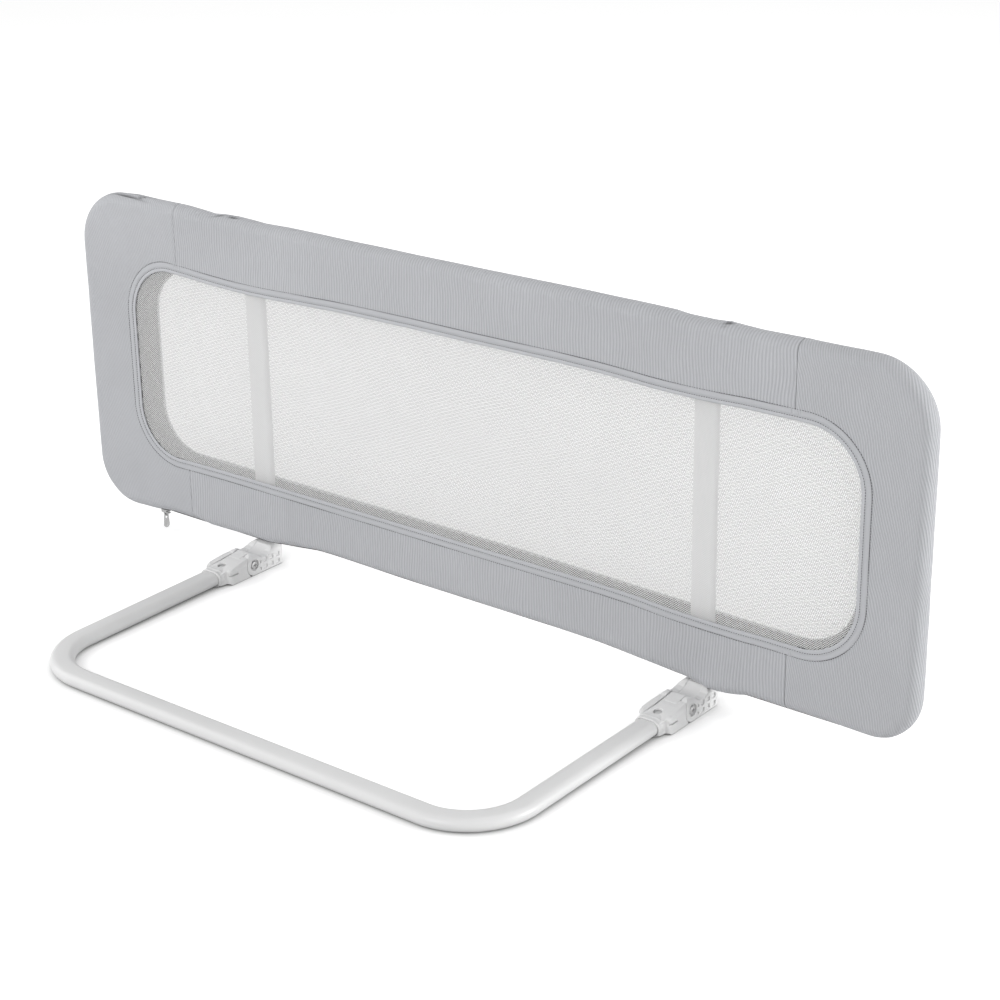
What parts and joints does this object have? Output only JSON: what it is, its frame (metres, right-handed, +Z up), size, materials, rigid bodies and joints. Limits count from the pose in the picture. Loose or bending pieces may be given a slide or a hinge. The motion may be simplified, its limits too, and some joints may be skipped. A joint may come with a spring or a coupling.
{
  "type": "folding bed guard rail",
  "caption": "Long fabric-covered panel with a net window on a tube frame, hinged upright on a flat tube loop that slides under a mattress; it folds down over the loop.",
  "frame": {"origin": "middle of the overall box at floor level, under the panel and the base loop together", "axes": "+X along the panel, +Y away from the mattress, through the panel from its front face, +Z up"},
  "size_m": [1.2, 0.404, 0.437],
  "materials": {
    "cover_fabric": "fine ribbed light grey weave",
    "binding": "grey woven tape with two stitch lines",
    "net": "white fine net",
    "zip_tape": "grey zip tape",
    "white_paint": "satin light grey-white powder coat",
    "white_plastic": "matt moulded plastic",
    "button_plastic": "dark matt plastic",
    "steel": "zinc plated",
    "spring_steel": "plain",
    "zip_metal": "grey painted metal"
  },
  "bodies": {
    "base": {"base_u_tube": "white_paint", "left_tube_connector": "white_plastic", "left_snap_spring": "spring_steel", "right_tube_connector": "white_plastic", "right_snap_spring": "spring_steel"},
    "guard_panel": {"top_tube": "white_paint", "left_hinge_bracket": "white_plastic", "left_pivot_bolt": "steel", "left_pivot_nut": "steel", "left_pivot_washer": "white_plastic", "left_post": "white_paint", "left_top_connector": "white_plastic", "left_foot_connector": "white_plastic", "left_foot_screw": "steel", "left_head_screw": "steel", "left_end_tube": "white_paint", "right_hinge_bracket": "white_plastic", "right_pivot_bolt": "steel", "right_pivot_nut": "steel", "right_pivot_washer": "white_plastic", "right_post": "white_paint", "right_top_connector": "white_plastic", "right_foot_connector": "white_plastic", "right_foot_screw": "steel", "right_head_screw": "steel", "right_end_tube": "white_paint", "cover_left_end": "cover_fabric", "cover_right_end": "cover_fabric", "cover_top_strip": "cover_fabric", "cover_bottom_front": "cover_fabric", "cover_bottom_back": "cover_fabric", "zip_tape": "zip_tape", "front_mesh": "net", "front_binding": "binding", "back_mesh": "net", "back_binding": "binding"},
    "left_button": {"left_snap_button": "button_plastic"},
    "right_button": {"right_snap_button": "button_plastic"},
    "slider": {"zip_slider": "zip_metal"},
    "puller": {"zip_puller": "zip_metal"}
  },
  "joints": [
    {"name": "panel_fold", "type": "hinge", "parent": "base", "child": "guard_panel", "pos_m": [0.009, 0.1475, 0.0135], "axis": [1, 0, 0], "range_deg": [0, 90]},
    {"name": "left_button_press", "type": "slide", "parent": "base", "child": "left_button", "axis": [0, 0, -1], "range_m": [0, 0.004], "stiffness_N_per_m": 800, "deforming": ["left_snap_spring"]},
    {"name": "right_button_press", "type": "slide", "parent": "base", "child": "right_button", "axis": [0, 0, -1], "range_m": [0, 0.004], "stiffness_N_per_m": 800, "deforming": ["right_snap_spring"]},
    {"name": "zip_slide", "type": "slide", "parent": "guard_panel", "child": "slider", "axis": [1, 0, 0], "range_m": [0, 0.128]},
    {"name": "puller_swing", "type": "hinge", "parent": "slider", "child": "puller", "pos_m": [-0.486, 0.1842, 0.02345], "axis": [0, 1, 0], "range_deg": [-85, 85]}
  ]
}
